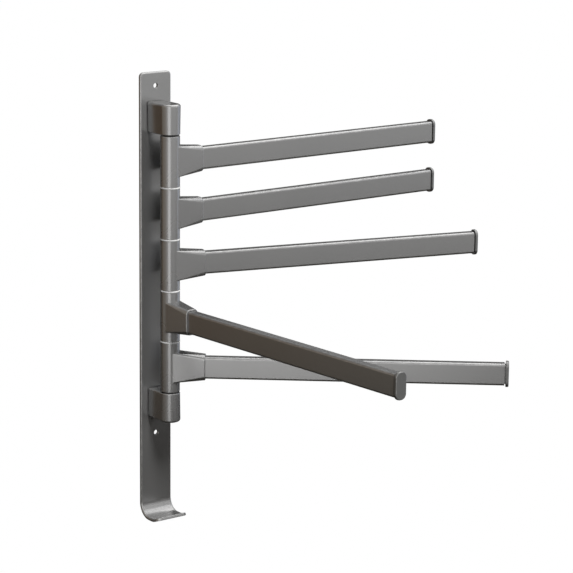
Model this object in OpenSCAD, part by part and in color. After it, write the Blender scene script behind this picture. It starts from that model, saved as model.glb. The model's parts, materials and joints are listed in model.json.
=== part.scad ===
// Swing arm towel bar for a wall: a back plate whose lower end curls into a hook, two brackets
// that hold a steel pivot rod, and five arms that swing on the rod, each with its own hub.
// Units are millimetres. X runs to the right along the wall, Y into the wall and Z up.
// The origin is on the back face of the plate, midway between the two wall screw holes.

/* [Back plate] */
// Width of the plate
plate_w = 37.5; // [30:0.5:60]
// Thickness of the plate and of its hook
plate_t = 3; // [2.5:0.5:6]
// Radius of the two upper corners, seen from the front
plate_corner_r = 4.5; // [1:0.5:10]
// Diameter of each wall screw hole
wall_hole_d = 5.2; // [3.5:0.1:8]
// Distance from the upper wall hole up to the top edge
wall_hole_top_margin = 14; // [10:0.5:30]
// Distance from the upper wall hole down to the upper bracket
wall_hole_upper_gap = 15.3; // [8:0.1:40]
// Distance from the lower bracket down to the lower wall hole
wall_hole_lower_gap = 18.5; // [8:0.5:40]

/* [Hook] */
// Distance from the lower wall hole down to the start of the curl
hook_drop = 73; // [20:0.5:150]
// Inner radius of the curl
hook_bend_r = 13; // [6:0.5:30]
// Length of the flat floor of the hook
hook_floor = 5; // [1:0.5:20]
// Inner radius of the bend that lifts the lip
hook_lip_bend_r = 15.5; // [4:0.5:30]
// Angle by which the lip rises
hook_lip_angle = 20; // [5:1:60]
// Length of the straight end of the lip
hook_lip = 6; // [2:0.5:20]
// Radius of the lip's two corners, seen from above
hook_corner_r = 6; // [1:0.5:8]

/* [Post] */
// Distance from the front of the plate to the axis of the post
post_out = 25.5; // [22:0.5:40]
// Diameter of the pivot rod
rod_d = 8; // [5:0.5:10]
// Length of rod held in each bracket
rod_hold_len = 15; // [8:0.5:20]
// Chamfer at each end of the rod
rod_chamfer_w = 0.6; // [0.2:0.1:1.5]
// Outer diameter of each hub
hub_d = 20; // [18:0.5:30]
// Height of each hub
hub_h = 52.1; // [44:0.1:80]
// Chamfer on the two ends of each hub
hub_chamfer_w = 0.4; // [0.1:0.1:1]
// Thickness of the light washer between two hubs
washer_t = 1.2; // [0.5:0.1:4]
// How far the light washers stand proud of the hubs
washer_proud = 0.25; // [0:0.05:1]
// Thickness of the thrust washer between a bracket and the nearest hub
thrust_t = 1.2; // [0.5:0.1:4]
// How far the thrust washers are set back from the hub's face
thrust_inset = 2; // [0.5:0.1:4]

/* [Brackets] */
// Height of each bracket
bracket_h = 31; // [24:0.5:50]
// How far a bracket stands proud of the hub at its rim next to the hub
bracket_proud = 0.2; // [0.1:0.1:2]
// How much more a bracket stands proud at its outer end
bracket_draft = 0.4; // [0.1:0.1:2]
// Radius of the rounded outer rim of a bracket
bracket_rim_r = 2.5; // [0.5:0.1:3]
// Diameter of the screws that hold the brackets from behind the plate
bracket_screw_d = 4; // [3:0.5:5]
// Length of those screws in the bracket
bracket_screw_grip = 12; // [8:0.5:14]

/* [Sockets] */
// Distance from the post's axis to the mouth of a socket
socket_reach = 36.5; // [32:0.5:60]
// Height of a socket where it leaves the hub
socket_root_h = 32; // [30:0.5:42]
// Wall of the socket around the arm at its mouth
socket_wall = 1.8; // [1.2:0.1:3]
// Length of arm held in the socket
socket_depth = 22; // [12:0.5:23]
// Radius of the socket's long edges where it leaves the hub
socket_root_edge_r = 1; // [0.5:0.1:4]
// Radius of the socket's long edges at its mouth
socket_mouth_edge_r = 4; // [1:0.1:4.5]
// Radius of the rim at the mouth
socket_rim_r = 0.8; // [0.2:0.1:1.5]
// Diameter of the set screw under each socket
set_screw_d = 4; // [3:0.5:5]

/* [Arms] */
// Distance from the post's axis to the outer face of an end cap
arm_reach = 346.5; // [150:0.5:500]
// Height of an arm
arm_h = 23; // [16:0.5:26]
// Width of an arm
arm_w = 11; // [8:0.5:14]
// Wall of the arm's tube
arm_wall = 1.5; // [0.8:0.1:2.5]
// Outer radius of the tube's corners
arm_corner_r = 2.4; // [1.5:0.1:3.5]
// Angle of the top arm, from the wall's right side towards the room
arm_1_angle = 0; // [0:1:180]
// Angle of the second arm
arm_2_angle = 0; // [0:1:180]
// Angle of the third arm
arm_3_angle = 15; // [0:1:180]
// Angle of the fourth arm
arm_4_angle = 87; // [0:1:180]
// Angle of the lowest arm
arm_5_angle = 40; // [0:1:180]

/* [End caps] */
// Thickness of a cap outside the arm
cap_t = 3; // [1.5:0.1:6]
// How far a cap stands proud of the arm above and below
cap_proud_h = 2; // [0.5:0.1:4]
// How far a cap stands proud of the arm at its sides
cap_proud_w = 1; // [0.2:0.1:3]
// Radius of the cap's corners, seen from its end
cap_corner_r = 5.5; // [2:0.1:6.5]
// Radius of the cap's rim
cap_rim_r = 0.9; // [0.3:0.1:1.4]
// Length of the plug inside the arm
cap_plug = 14; // [6:0.5:30]
// Wall of the hollow plug
cap_plug_wall = 1.4; // [0.8:0.1:2.5]

/* [Fits] */
// Radial clearance of the rod in the hubs and brackets
rod_fit = 0.05; // [0.02:0.01:0.1]
// Radial clearance of the washers on the rod
washer_fit = 0.15; // [0.05:0.05:0.4]
// Play above and below each hub
hub_play = 0.05; // [0:0.01:0.1]
// Clearance of an arm in its socket and of a plug in its arm, on each side
push_fit = 0.1; // [0.05:0.05:0.3]
// Radial clearance of screws in their holes
screw_fit = 0.05; // [0.02:0.01:0.2]

/* [Hidden] */

arm_angles = [arm_1_angle, arm_2_angle, arm_3_angle, arm_4_angle, arm_5_angle];
arm_count = len(arm_angles);
// Extra length that every cut runs past the solid it cuts
overrun = 0.5;
// Facets of true round surfaces, and of the rounded blends
round_fn = 96;
blend_fn = 32;
// Steps of a rounded rim, and of a bend in an outline
rim_steps = 4;
bend_steps = 18;

// The post, counted down from the upper bracket
hub_step = hub_h + washer_t;
stack_h = arm_count * hub_h + (arm_count - 1) * washer_t + 2 * thrust_t;
wall_hole_span = wall_hole_upper_gap + wall_hole_lower_gap + 2 * bracket_h + stack_h;
upper_hole_z = wall_hole_span / 2;
lower_hole_z = -wall_hole_span / 2;
stack_top_z = upper_hole_z - wall_hole_upper_gap - bracket_h;
stack_base_z = stack_top_z - stack_h;
plate_top_z = upper_hole_z + wall_hole_top_margin;
post_y = -plate_t - post_out;
hub_r = hub_d / 2;
rod_r = rod_d / 2;

// The hook, drawn in the plane of Y and Z
hook_z = lower_hole_z - hook_drop;
hook_floor_y = -plate_t - hook_bend_r;
hook_floor_z = hook_z - hook_bend_r;
hook_lip_y = hook_floor_y - hook_floor;
hook_lip_centre_z = hook_floor_z + hook_lip_bend_r;
hook_bottom_z = hook_floor_z - plate_t;
hook_lip_mid_r = hook_lip_bend_r + plate_t / 2;
hook_tip_y = hook_lip_y - hook_lip_mid_r * sin(hook_lip_angle) - hook_lip * cos(hook_lip_angle);
hook_tip_z = hook_lip_centre_z - hook_lip_mid_r * cos(hook_lip_angle) + hook_lip * sin(hook_lip_angle);
hook_front_y = hook_tip_y - plate_t / 2;

// The brackets
bracket_inner_r = hub_r + bracket_proud;
bracket_outer_r = bracket_inner_r + bracket_draft;
bracket_slice = bracket_rim_r / rim_steps;
bracket_bore_depth = rod_hold_len + rod_chamfer_w;
bracket_screw_share = 0.27;
bracket_screw_z = bracket_h * bracket_screw_share;
bracket_screw_r = bracket_screw_d / 2;
bracket_head_r = bracket_screw_d;
bracket_head_h = bracket_head_r - bracket_screw_r;
driver_share = 0.55;
driver_depth_share = 0.5;

// The sockets and arms, drawn along X from the post's axis
socket_mouth_h = arm_h + 2 * push_fit + 2 * socket_wall;
socket_mouth_w = arm_w + 2 * push_fit + 2 * socket_wall;
socket_root_w_share = 0.96;
socket_root_w = hub_d * socket_root_w_share;
socket_floor_x = socket_reach - socket_depth;
arm_end_x = arm_reach - cap_t;
corner_left_share = 0.4;
arm_inner_r = max(arm_corner_r - arm_wall, arm_wall * corner_left_share);
set_screw_share = 0.45;
set_screw_x = socket_reach - socket_depth * set_screw_share;
set_screw_r = set_screw_d / 2;
set_screw_top_z = -arm_h / 2;
socket_low_z = -socket_root_h / 2 + (socket_root_h - socket_mouth_h) / 2 * set_screw_x / socket_reach;
set_screw_sink_share = 0.15;
set_screw_sink = set_screw_r * set_screw_sink_share;
set_screw_len = set_screw_top_z - socket_low_z - set_screw_sink;

// The end caps
cap_h = arm_h + 2 * cap_proud_h;
cap_w = arm_w + 2 * cap_proud_w;
plug_h = arm_h - 2 * arm_wall - 2 * push_fit;
plug_w = arm_w - 2 * arm_wall - 2 * push_fit;
plug_r = max(arm_inner_r - push_fit, arm_inner_r * corner_left_share);

// Middle height of a hub, counted from the top
function hub_mid_z(index) = stack_top_z - thrust_t - hub_h / 2 - (index - 1) * hub_step;

// Middle height of the washer below a hub
function washer_mid_z(index) = hub_mid_z(index) - hub_step / 2;

// A rectangle with true round corners, centred, its height along Y
module rounded_bar(w, h, r) {
    square([w - 2 * r, h], center = true);
    square([w, h - 2 * r], center = true);
    for (x = [-1, 1])
        for (y = [-1, 1])
            translate([x * (w / 2 - r), y * (h / 2 - r)])
                circle(r = r, $fn = round_fn);
}

// A bar of that section along X, from x0 to x1: its width lies along Y and its height along Z
module bar_along_x(x0, x1, w, h, r) {
    translate([x0, 0, 0])
        rotate([90, 0, 90])
            linear_extrude(x1 - x0)
                rounded_bar(w, h, r);
}

// The same bar with a coarser round corner, as a child of a hull
module blend_bar(x0, x1, w, h, r) {
    translate([x0, 0, 0])
        rotate([90, 0, 90])
            linear_extrude(x1 - x0)
                for (x = [-1, 1])
                    for (y = [-1, 1])
                        translate([x * (w / 2 - r), y * (h / 2 - r)])
                            circle(r = r, $fn = blend_fn);
}

// A round bar along Z from z0 to z1 with a chamfer at both ends
module chamfered_round(r, z0, z1, chamfer) {
    rotate_extrude($fn = round_fn)
        polygon([
            [0, z0], [r - chamfer, z0], [r, z0 + chamfer],
            [r, z1 - chamfer], [r - chamfer, z1], [0, z1]
        ]);
}

// Points along an arc about a centre, from angle a0 to angle a1
function arc_points(centre, r, a0, a1) =
    [for (i = [0 : bend_steps])
        centre + r * [cos(a0 + (a1 - a0) * i / bend_steps), sin(a0 + (a1 - a0) * i / bend_steps)]];

// Side view of the plate and its hook: Y across and Z up
module plate_side() {
    bend_centre = [hook_floor_y, hook_z];
    lip_centre = [hook_lip_y, hook_lip_centre_z];
    lip_low = -90 - hook_lip_angle;
    polygon(concat(
        [[0, plate_top_z]],
        arc_points(bend_centre, hook_bend_r + plate_t, 0, -90),
        arc_points(lip_centre, hook_lip_bend_r + plate_t, -90, lip_low),
        arc_points([hook_tip_y, hook_tip_z], plate_t / 2, lip_low, lip_low - 180),
        arc_points(lip_centre, hook_lip_bend_r, lip_low, -90),
        arc_points(bend_centre, hook_bend_r, -90, 0),
        [[-plate_t, plate_top_z]]
    ));
}

// Front view of the plate: its upper corners are round
module plate_front() {
    translate([-plate_w / 2, hook_bottom_z - overrun])
        square([plate_w, plate_top_z - plate_corner_r - hook_bottom_z + overrun]);
    translate([plate_corner_r - plate_w / 2, plate_top_z - 2 * plate_corner_r])
        square([plate_w - 2 * plate_corner_r, 2 * plate_corner_r]);
    for (side = [-1, 1])
        translate([side * (plate_w / 2 - plate_corner_r), plate_top_z - plate_corner_r])
            circle(r = plate_corner_r, $fn = round_fn);
}

// View of the plate from above: the lip's front corners are round
module plate_above() {
    translate([-plate_w / 2, hook_front_y + hook_corner_r])
        square([plate_w, overrun - hook_front_y - hook_corner_r]);
    translate([hook_corner_r - plate_w / 2, hook_front_y])
        square([plate_w - 2 * hook_corner_r, 2 * hook_corner_r]);
    for (side = [-1, 1])
        translate([side * (plate_w / 2 - hook_corner_r), hook_front_y + hook_corner_r])
            circle(r = hook_corner_r, $fn = round_fn);
}

// Puts its children at both screws of the upper and the lower bracket, pointing into the room
module at_bracket_screws() {
    for (base = [stack_top_z, stack_base_z - bracket_h])
        for (z = [bracket_screw_z, bracket_h - bracket_screw_z])
            translate([0, 0, base + z])
                rotate([90, 0, 0])
                    children();
}

module back_plate() {
    color([0.42, 0.41, 0.40])
        difference() {
            intersection() {
                translate([-plate_w / 2, 0, 0])
                    rotate([90, 0, 90])
                        linear_extrude(plate_w)
                            plate_side();
                translate([0, overrun, 0])
                    rotate([90, 0, 0])
                        linear_extrude(2 * overrun - hook_front_y)
                            plate_front();
                translate([0, 0, hook_bottom_z - overrun])
                    linear_extrude(plate_top_z - hook_bottom_z + 2 * overrun)
                        plate_above();
            }
            for (z = [lower_hole_z, upper_hole_z])
                translate([0, overrun, z])
                    rotate([90, 0, 0])
                        cylinder(d = wall_hole_d, h = plate_t + 2 * overrun, $fn = round_fn);
            at_bracket_screws() {
                translate([0, 0, -overrun])
                    cylinder(r = bracket_screw_r + screw_fit, h = plate_t + 2 * overrun, $fn = round_fn);
                translate([0, 0, -screw_fit])
                    cylinder(r1 = bracket_head_r + 2 * screw_fit, r2 = bracket_screw_r + screw_fit,
                             h = bracket_head_h + screw_fit, $fn = round_fn);
            }
        }
}

// Plan of a bracket: half round in front of the rod, with flat sides back to the plate
module bracket_plan(r) {
    circle(r = r, $fn = 2 * blend_fn);
    translate([-r, 0])
        square([2 * r, post_out]);
}

// A bracket whose rim next to the hubs is at height zero, and which grows upwards
module bracket() {
    difference() {
        intersection() {
            hull() {
                linear_extrude(bracket_slice)
                    bracket_plan(bracket_inner_r);
                for (angle = [0 : 90 / rim_steps : 90])
                    translate([0, 0, bracket_h - bracket_rim_r])
                        linear_extrude(max(bracket_rim_r * sin(angle), bracket_slice))
                            bracket_plan(bracket_outer_r - bracket_rim_r * (1 - cos(angle)));
            }
            translate([-bracket_outer_r, -bracket_outer_r, 0])
                cube([2 * bracket_outer_r, bracket_outer_r + post_out, bracket_h]);
        }
        translate([0, 0, -overrun])
            cylinder(r = rod_r + rod_fit, h = bracket_bore_depth + overrun, $fn = round_fn);
        for (z = [bracket_screw_z, bracket_h - bracket_screw_z])
            translate([0, post_out + overrun, z])
                rotate([90, 0, 0])
                    cylinder(r = bracket_screw_r + screw_fit, h = bracket_screw_grip + 2 * overrun,
                             $fn = round_fn);
    }
}

module top_bracket() {
    color([0.40, 0.39, 0.38])
        translate([0, post_y, stack_top_z])
            bracket();
}

module bottom_bracket() {
    color([0.40, 0.39, 0.38])
        translate([0, post_y, stack_base_z])
            mirror([0, 0, 1])
                bracket();
}

module pivot_rod() {
    color([0.72, 0.72, 0.74])
        translate([0, post_y, 0])
            chamfered_round(rod_r, stack_base_z - rod_hold_len, stack_top_z + rod_hold_len, rod_chamfer_w);
}

// Countersunk screws, their heads flush with the back of the plate, seen from the wall
module bracket_screws() {
    color([0.70, 0.70, 0.72])
        at_bracket_screws()
            difference() {
                rotate_extrude($fn = round_fn)
                    polygon([
                        [0, 0], [bracket_head_r, 0], [bracket_screw_r, bracket_head_h],
                        [bracket_screw_r, plate_t + bracket_screw_grip],
                        [0, plate_t + bracket_screw_grip]
                    ]);
                translate([0, 0, -overrun])
                    cylinder(r = bracket_screw_r * driver_share,
                             h = bracket_head_h * driver_depth_share + overrun, $fn = 6);
            }
}

// A flat washer on the rod, centred on height zero
module flat_washer(outer_r, t) {
    difference() {
        translate([0, 0, -t / 2])
            cylinder(r = outer_r, h = t, $fn = round_fn);
        translate([0, 0, -t / 2 - overrun])
            cylinder(r = rod_r + washer_fit, h = t + 2 * overrun, $fn = round_fn);
    }
}

module thrust_washer(z) {
    color([0.20, 0.20, 0.20])
        translate([0, post_y, z])
            flat_washer(hub_r - thrust_inset, thrust_t);
}

module washer(index) {
    color([0.90, 0.89, 0.86])
        translate([0, post_y, washer_mid_z(index)])
            flat_washer(hub_r + washer_proud, washer_t);
}

// Turns its children to an arm's own direction, with X along the arm from the post's axis
module on_arm(index) {
    translate([0, post_y, hub_mid_z(index)])
        rotate([0, 0, -arm_angles[index - 1]])
            children();
}

// Hub: a sleeve on the rod and, in one piece with it, the tapered socket that holds the arm
module hub(index) {
    color([0.45, 0.44, 0.43])
        on_arm(index)
            difference() {
                union() {
                    chamfered_round(hub_r, hub_play - hub_h / 2, hub_h / 2 - hub_play, hub_chamfer_w);
                    hull() {
                        blend_bar(0, socket_rim_r, socket_root_w, socket_root_h, socket_root_edge_r);
                        blend_bar(socket_reach - 2 * socket_rim_r, socket_reach - socket_rim_r,
                                  socket_mouth_w, socket_mouth_h, socket_mouth_edge_r);
                        blend_bar(socket_reach - socket_rim_r, socket_reach,
                                  socket_mouth_w - socket_rim_r, socket_mouth_h - socket_rim_r,
                                  socket_mouth_edge_r - socket_rim_r / 2);
                    }
                }
                translate([0, 0, -hub_h / 2 - overrun])
                    cylinder(r = rod_r + rod_fit, h = hub_h + 2 * overrun, $fn = round_fn);
                bar_along_x(socket_floor_x, socket_reach + overrun, arm_w + 2 * push_fit,
                            arm_h + 2 * push_fit, arm_corner_r + push_fit);
                translate([set_screw_x, 0, -socket_root_h / 2 - overrun])
                    cylinder(r = set_screw_r + screw_fit, h = socket_root_h / 2 - arm_h / 2 + 2 * overrun,
                             $fn = round_fn);
            }
}

// Arm: a rounded rectangular tube, open at both ends
module arm(index) {
    color([0.48, 0.47, 0.46])
        on_arm(index)
            difference() {
                bar_along_x(socket_floor_x + push_fit, arm_end_x, arm_w, arm_h, arm_corner_r);
                bar_along_x(socket_floor_x - overrun, arm_end_x + overrun,
                            arm_w - 2 * arm_wall, arm_h - 2 * arm_wall, arm_inner_r);
            }
}

// End cap: a flange with a rounded rim, and a hollow plug that is pushed into the arm
module end_cap(index) {
    rim_w = cap_w - 2 * cap_rim_r;
    rim_h = cap_h - 2 * cap_rim_r;
    rim_corner_r = cap_corner_r - cap_rim_r;
    color([0.40, 0.39, 0.38])
        on_arm(index) {
            hull() {
                blend_bar(arm_end_x, arm_end_x + cap_rim_r, cap_w - cap_rim_r, cap_h - cap_rim_r,
                          cap_corner_r - cap_rim_r / 2);
                blend_bar(arm_end_x + cap_rim_r / 2, arm_reach - cap_rim_r, cap_w, cap_h, cap_corner_r);
                blend_bar(arm_reach - cap_rim_r, arm_reach, rim_w, rim_h, rim_corner_r);
            }
            difference() {
                bar_along_x(arm_end_x - cap_plug, arm_end_x + overrun, plug_w, plug_h, plug_r);
                bar_along_x(arm_end_x - cap_plug - overrun, arm_end_x, plug_w - 2 * cap_plug_wall,
                            plug_h - 2 * cap_plug_wall, plug_r * corner_left_share);
            }
        }
}

// Set screw: driven up through the socket's underside until it meets the arm
module set_screw(index) {
    color([0.30, 0.30, 0.31])
        on_arm(index)
            translate([set_screw_x, 0, set_screw_top_z])
                mirror([0, 0, 1])
                    difference() {
                        cylinder(r = set_screw_r, h = set_screw_len, $fn = round_fn);
                        translate([0, 0, set_screw_len * driver_depth_share])
                            cylinder(r = set_screw_r * driver_share, h = set_screw_len, $fn = 6);
                    }
}

back_plate();
top_bracket();
bottom_bracket();
pivot_rod();
bracket_screws();
thrust_washer(stack_top_z - thrust_t / 2);  // top_thrust_washer
thrust_washer(stack_base_z + thrust_t / 2);  // bottom_thrust_washer
washer(1);  // washer_1
washer(2);  // washer_2
washer(3);  // washer_3
washer(4);  // washer_4
hub(1);  // hub_1
hub(2);  // hub_2
hub(3);  // hub_3
hub(4);  // hub_4
hub(5);  // hub_5
arm(1);  // arm_1
arm(2);  // arm_2
arm(3);  // arm_3
arm(4);  // arm_4
arm(5);  // arm_5
end_cap(1);  // end_cap_1
end_cap(2);  // end_cap_2
end_cap(3);  // end_cap_3
end_cap(4);  // end_cap_4
end_cap(5);  // end_cap_5
set_screw(1);  // set_screw_1
set_screw(2);  // set_screw_2
set_screw(3);  // set_screw_3
set_screw(4);  // set_screw_4
set_screw(5);  // set_screw_5
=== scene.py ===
# %% [markdown]
# A towel bar with five swinging arms, dressed in Blender
#
# The construction of this part, with its real sizes and joints, is already settled. It arrives here as
# a fixed frame of plain solids. This lesson gives each solid the finished form and the surface that the
# real object has: satin gunmetal on the plate, brackets, hubs and arms, and thin off-white washers.

import json
import math

import bmesh
import bpy
from mathutils import Matrix, Vector


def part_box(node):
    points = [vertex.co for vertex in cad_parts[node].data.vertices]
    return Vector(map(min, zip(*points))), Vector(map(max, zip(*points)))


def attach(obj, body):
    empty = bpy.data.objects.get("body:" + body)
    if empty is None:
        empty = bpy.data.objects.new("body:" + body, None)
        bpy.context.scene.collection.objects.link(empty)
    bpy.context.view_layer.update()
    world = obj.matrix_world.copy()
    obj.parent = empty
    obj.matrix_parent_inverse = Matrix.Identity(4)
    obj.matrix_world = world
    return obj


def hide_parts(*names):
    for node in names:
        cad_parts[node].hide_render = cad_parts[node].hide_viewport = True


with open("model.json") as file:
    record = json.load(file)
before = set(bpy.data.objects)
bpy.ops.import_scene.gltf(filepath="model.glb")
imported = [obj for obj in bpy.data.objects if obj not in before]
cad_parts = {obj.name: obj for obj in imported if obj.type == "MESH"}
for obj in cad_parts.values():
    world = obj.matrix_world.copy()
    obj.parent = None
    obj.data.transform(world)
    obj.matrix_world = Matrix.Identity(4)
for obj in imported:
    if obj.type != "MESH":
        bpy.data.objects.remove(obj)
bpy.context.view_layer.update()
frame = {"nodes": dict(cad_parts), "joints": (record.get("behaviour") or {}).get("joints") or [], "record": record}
MM = 0.001

# %% [markdown]
# Camera
#
# The picture was taken from the left, a little above the middle of the object, with a long lens. A long
# lens keeps the arms almost parallel. The camera starts level and looks along the wall's normal. A turn to
# the right, a dip and a slight roll then aim it, so the view can be changed one angle at a time.

# %% Place the camera
camera_place = Vector((-1.3223, -1.9552, 0.5117))
camera_turn = math.radians(37.37)
camera_dip = math.radians(12.83)
camera_roll = math.radians(0.64)
camera_lens = 147.64


def in_scene(name, data):
    """A new object in the scene."""
    made = bpy.data.objects.new(name, data)
    bpy.context.scene.collection.objects.link(made)
    return made


camera_data = bpy.data.cameras.new("camera")
camera_data.lens = camera_lens
camera = in_scene("camera", camera_data)
dipped = Matrix.Rotation(math.pi / 2 - camera_dip, 4, "X")
aim = Matrix.Rotation(-camera_turn, 4, "Z") @ dipped @ Matrix.Rotation(camera_roll, 4, "Z")
camera.matrix_world = Matrix.Translation(camera_place) @ aim
bpy.context.scene.camera = camera
bpy.context.scene.view_settings.view_transform = "Standard"
print(f"camera: {camera_place.length:.2f} m from the plate, lens {camera_lens} mm")

# %% [markdown]
# World, floor and lamps
#
# Satin metal shows its surroundings more than its own colour. The object hangs in a white room above a
# pale floor. Two soft keys give nearly all the matt light, a strong one from above and a weak one from
# the right, so the post and brackets throw soft shadows on the plate. What the metal mirrors is set apart
# from that, as in a studio, with cards that only reflections see: a tall white one beside the camera
# draws the stripe down the post, a wide one overhead lights the upper edges of the arms, a cool one
# stands at the right, and darker ones stand at the left, behind and below. Those behind are darkest above
# the horizon, where the upper faces mirror them, so the back of the object still shows. Two more dark
# ones stand close by, low in front and at the right.

# %% Mix a white background with a softer fill
WHITE = (1, 1, 1)
background_level = 1
room_fill = 0.05


def node(tree, kind, inputs=(), **settings):
    """A new node. Each input is (socket, value), and a node as the value stands for its first output."""
    made = tree.nodes.new(kind)
    for label, value in settings.items():
        setattr(made, label, value)
    for label, value in inputs:
        if isinstance(value, bpy.types.Node):
            value = value.outputs[0]
        if isinstance(value, bpy.types.NodeSocket):
            tree.links.new(value, made.inputs[label])
        else:
            made.inputs[label].default_value = value
    return made


def arithmetic(tree, operation, first, second):
    """One step of arithmetic between nodes, sockets or plain numbers."""
    return node(tree, "ShaderNodeMath", [(0, first), (1, second)], operation=operation)


def seen_directly(tree):
    """One where a camera, glossy or transmission ray looks, and zero for soft light."""
    rays = node(tree, "ShaderNodeLightPath").outputs
    camera_or_glossy = arithmetic(tree, "MAXIMUM", rays["Is Camera Ray"], rays["Is Glossy Ray"])
    return arithmetic(tree, "MAXIMUM", camera_or_glossy, rays["Is Transmission Ray"])


world = bpy.data.worlds.new("white_room")
bpy.context.scene.world = world
world.use_nodes = True
room = world.node_tree
room.nodes.clear()
fill, background = (node(room, "ShaderNodeBackground", [("Color", (*WHITE, 1)), ("Strength", level)])
                    for level in (room_fill, background_level))
room_mix = node(room, "ShaderNodeMixShader", [("Fac", seen_directly(room)), (1, fill), (2, background)])
node(room, "ShaderNodeOutputWorld", [("Surface", room_mix)])
print(f"world: white to the camera, {room_fill} as soft fill")

# %% Hang the two key lamps
lamp_distance = 2


def direction(azimuth, elevation):
    """The unit vector that points to a place in the room. Azimuth 0 is straight in front of the plate."""
    turn, rise = math.radians(azimuth), math.radians(elevation)
    return Vector((math.sin(turn) * math.cos(rise), -math.cos(turn) * math.cos(rise), math.sin(rise)))


def facing(azimuth, elevation, distance):
    """The place and turn of a flat thing in the room that faces the object."""
    toward = direction(azimuth, elevation)
    return Matrix.Translation(toward * distance) @ toward.to_track_quat("Z", "Y").to_matrix().to_4x4()


def key_lamp(name, azimuth, elevation, level, spread):
    """A soft lamp for the matt light alone. It gives back how much of its level falls on the floor."""
    data = bpy.data.lights.new(name, "SUN")
    data.energy = math.pi * level
    data.angle = math.radians(spread)
    lamp = in_scene(name, data)
    lamp.matrix_world = facing(azimuth, elevation, lamp_distance)
    lamp.visible_glossy = False
    return level * math.sin(math.radians(elevation))


key_on_floor = key_lamp("top_key", azimuth=-13, elevation=60, level=1.4, spread=16)
key_on_floor += key_lamp("right_key", azimuth=45, elevation=18, level=0.4, spread=30)
print(f"keys: {key_on_floor:.2f} on the floor")

# %% Lay the pale floor
floor_z = -1.3
floor_half = 40.0
floor_paint_share = 0.1
floor_tone = 0.86
floor_light = floor_tone * (key_on_floor + room_fill)
floor_glow = (1 - floor_paint_share * floor_light) / (1 - floor_paint_share)
square = ((-1, -1), (1, -1), (1, 1), (-1, 1))


def empty_material(name):
    """A material and its tree, which is still empty."""
    material = bpy.data.materials.new(name)
    material.use_nodes = True
    material.node_tree.nodes.clear()
    return material, material.node_tree


def flat_sheet(name, corners, material):
    """A single flat face that belongs to the stage."""
    mesh = bpy.data.meshes.new(name)
    mesh.from_pydata(corners, [], [range(len(corners))])
    mesh.materials.append(material)
    sheet = in_scene(name, mesh)
    return sheet


def level_corners(half, height):
    """The corners of a level square about the middle of the room."""
    return [(x * half, y * half, height) for x, y in square]


floor_material, tree = empty_material("pale_floor")
paint = node(tree, "ShaderNodeBsdfDiffuse", [("Color", (floor_tone, floor_tone, floor_tone, 1))])
glow_level = arithmetic(tree, "MULTIPLY", seen_directly(tree), floor_glow)
glow = node(tree, "ShaderNodeEmission", [("Strength", glow_level)])
floor_mix = node(tree, "ShaderNodeMixShader", [("Fac", 1 - floor_paint_share), (1, paint), (2, glow)])
node(tree, "ShaderNodeOutputMaterial", [("Surface", floor_mix)])
flat_sheet("floor", level_corners(floor_half, floor_z), floor_material)
print(f"floor: {-floor_z} m down, white where the keys reach it")

# %% Helpers for cards that only reflections see


def reflected_card(name, corners, colour, strength):
    """A card of one plain tone that shows in glossy reflections and gives no light of its own."""
    material, tree = empty_material(name)
    tone = node(tree, "ShaderNodeEmission", [("Color", (*colour, 1)), ("Strength", strength)])
    node(tree, "ShaderNodeOutputMaterial", [("Surface", tone)])
    material.cycles.emission_sampling = "NONE"
    card = flat_sheet(name, corners, material)
    for kind in ("camera", "diffuse", "shadow", "transmission"):
        setattr(card, f"visible_{kind}", False)


def facing_card(name, azimuth, elevation, distance, width, height, strength):
    """A white card that faces the object."""
    place = facing(azimuth, elevation, distance)
    corners = [place @ Vector((x * width / 2, y * height / 2, 0)) for x, y in square]
    reflected_card(name, corners, WHITE, strength)


def upright_card(name, azimuths, distance, heights, colour, strength):
    """A standing card between two directions round the object."""
    start, end = (direction(azimuth, 0) * distance for azimuth in azimuths)
    low, high = (Vector((0, 0, z)) for z in heights)
    reflected_card(name, [start + low, end + low, end + high, start + high], colour, strength)


print("helpers: cards that face the object or stand round it")

# %% Set the cards
low_card_z = -0.62
low_card_half = 2.8
near_azimuths = ((-12, 44), (44, 100))
near_distance = 0.4
near_heights = (-1.2, -0.2)
near_colour = (1, 0.7, 0.45)
near_strength = 0.02
side_distance = 2.0
tall, upper, lower = (-1.2, 2.6), (-0.1, 2.6), (-1.2, -0.1)
# Each side card: the azimuths of its ends, its heights, its colour and its strength.
side_cards = [
    ((-66, -84), tall, (1, 0.93, 0.88), 0.75),
    ((-84, -106), tall, (1, 0.86, 0.7), 0.5),
    ((-106, -130), tall, (1, 0.87, 0.72), 0.44),
    ((-130, -146), tall, (1, 0.6, 0.28), 0.23),
    ((-146, -163), tall, (1, 0.75, 0.5), 0.03),
    ((-163, -190), upper, WHITE, 0.03),
    ((-163, -190), lower, WHITE, 0.4),
    ((170, 100), upper, WHITE, 0.02),
    ((170, 100), lower, WHITE, 0.3),
    ((100, 62), tall, (0.8, 0.86, 1), 1.1),
]
facing_card("stripe_card", azimuth=-43, elevation=2, distance=1.75, width=0.94, height=1.5, strength=2.2)
facing_card("overhead_card", azimuth=90, elevation=66, distance=1.6, width=2.0, height=1.6, strength=3.0)
reflected_card("low_card", level_corners(low_card_half, low_card_z), colour=(1, 0.9, 0.7), strength=0.05)
for number, azimuths in enumerate(near_azimuths, 1):
    name = f"near_dark_card_{number}"
    upright_card(name, azimuths, near_distance, near_heights, near_colour, near_strength)
for number, (azimuths, heights, colour, strength) in enumerate(side_cards, 1):
    upright_card(f"side_card_{number}", azimuths, side_distance, heights, colour, strength)
print(f"cards: stripe, overhead, low, two near and {len(side_cards)} round the sides and the back")

# %% [markdown]
# Sizes that the frame gives
#
# Each arm turns about the post, and its joint says where the post is, how high the hub sits and how far
# the arm stands out from the wall. Everything placed here comes from those joints and from the boxes of
# the solids, so the dressed pieces follow the frame if it changes.

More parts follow.
